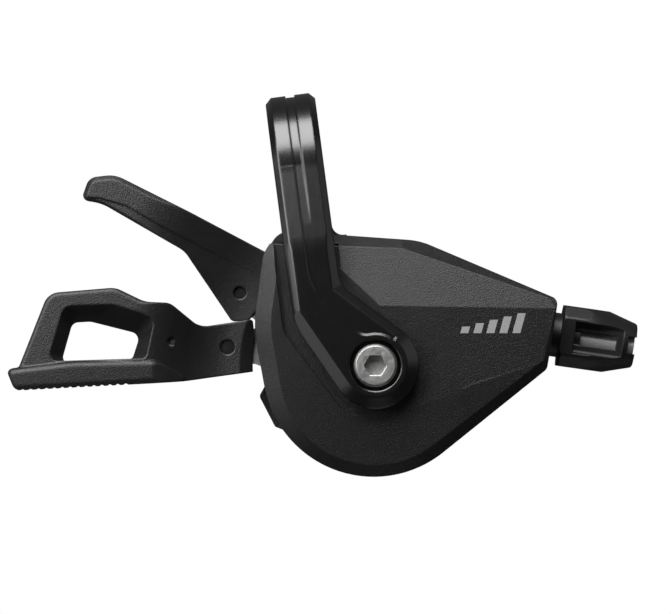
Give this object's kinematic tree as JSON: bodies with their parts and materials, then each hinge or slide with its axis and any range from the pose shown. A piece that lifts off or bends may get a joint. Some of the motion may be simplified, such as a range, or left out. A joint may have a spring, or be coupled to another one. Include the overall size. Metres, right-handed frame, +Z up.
{
  "type": "trigger gear shifter",
  "caption": "Bicycle trigger gear shifter with a handlebar clamp band, a thumb lever, a release lever, an indexed cable drum in a faceted case and a barrel cable adjuster.",
  "frame": {"origin": "centre of the handlebar bore, midway across the clamp band", "axes": "+X along the handlebar towards the cable adjuster, +Z up from the case to the bar, -Y towards the viewer of the face"},
  "size_m": [0.1263, 0.0389, 0.0787],
  "materials": {
    "cover_plastic": "satin black, fine grain",
    "housing_plastic": "matte black",
    "lever_plastic": "matte black, fine grain",
    "knob_plastic": "smooth black",
    "drum_plastic": "natural grey",
    "band_metal": "black anodised, satin",
    "adjuster_metal": "bare, turned",
    "bush_metal": "sintered bronze",
    "steel": "pressed steel",
    "bolt_steel": "bright zinc"
  },
  "bodies": {
    "case": {"clamp_band": "band_metal", "clamp_bolt": "bolt_steel", "front_cover": "cover_plastic", "rear_housing": "housing_plastic", "base_plate": "steel", "main_axle": "steel", "axle_circlip": "steel", "holding_pawl_pin": "steel", "drum_spring": "steel", "adjuster_collar": "housing_plastic", "cover_screws": "steel", "band_screw": "steel", "cable_plug": "housing_plastic"},
    "thumb_lever": {"main_lever": "lever_plastic", "main_lever_plate": "steel", "main_lever_rivet": "steel", "main_lever_bush": "bush_metal", "main_return_spring": "steel", "feed_pawl_pin": "steel"},
    "trigger_lever": {"release_lever": "lever_plastic", "release_lever_plate": "steel", "release_lever_rivet": "steel", "release_lever_bush": "bush_metal", "release_return_spring": "steel"},
    "drum": {"cable_drum": "drum_plastic", "index_ratchet": "steel", "wind_ratchet": "steel"},
    "drive_pawl": {"feed_pawl": "steel"},
    "stop_pawl": {"holding_pawl": "steel"},
    "barrel": {"adjuster_knob": "knob_plastic"},
    "barrel_tube": {"adjuster_bolt": "adjuster_metal"}
  },
  "joints": [
    {"name": "thumb_lever_swing", "type": "hinge", "parent": "case", "child": "thumb_lever", "pos_m": [0.01, 0.0025, -0.0417], "axis": [0, 1, 0], "range_deg": [0, 30], "stiffness_Nm_per_rad": 0.1, "springref_deg": -22.92},
    {"name": "trigger_lever_swing", "type": "hinge", "parent": "case", "child": "trigger_lever", "pos_m": [0.01, 0.0025, -0.0417], "axis": [0, 1, 0], "range_deg": [-9, 9], "stiffness_Nm_per_rad": 0.4},
    {"name": "drum_turn", "type": "hinge", "parent": "case", "child": "drum", "pos_m": [0.01, 0.0025, -0.0417], "axis": [0, 1, 0], "range_deg": [0, 198], "stiffness_Nm_per_rad": 0.01, "springref_deg": -114.59},
    {"name": "drive_pawl_tip", "type": "hinge", "parent": "thumb_lever", "child": "drive_pawl", "pos_m": [0.02253, -0.0045, -0.03021], "axis": [0, 1, 0], "range_deg": [0, 8], "stiffness_Nm_per_rad": 0.005, "springref_deg": -17.19},
    {"name": "stop_pawl_tip", "type": "hinge", "parent": "case", "child": "stop_pawl", "pos_m": [0.00489, -0.0027, -0.05791], "axis": [0, 1, 0], "range_deg": [0, 8], "stiffness_Nm_per_rad": 0.005, "springref_deg": -17.19},
    {"name": "barrel_turn", "type": "hinge", "parent": "case", "child": "barrel", "pos_m": [0.04727, 0.0025, -0.04056], "axis": [0.9632, 0, -0.2689], "range_deg": [0, 1080]},
    {"name": "barrel_tube_slide", "type": "slide", "parent": "case", "child": "barrel_tube", "axis": [0.9632, 0, -0.2689], "range_m": [0, 0.003]}
  ],
  "couplings": [
    {"joint": "barrel_turn", "follows": "barrel_tube_slide", "rad_per_m": 6283.2}
  ]
}
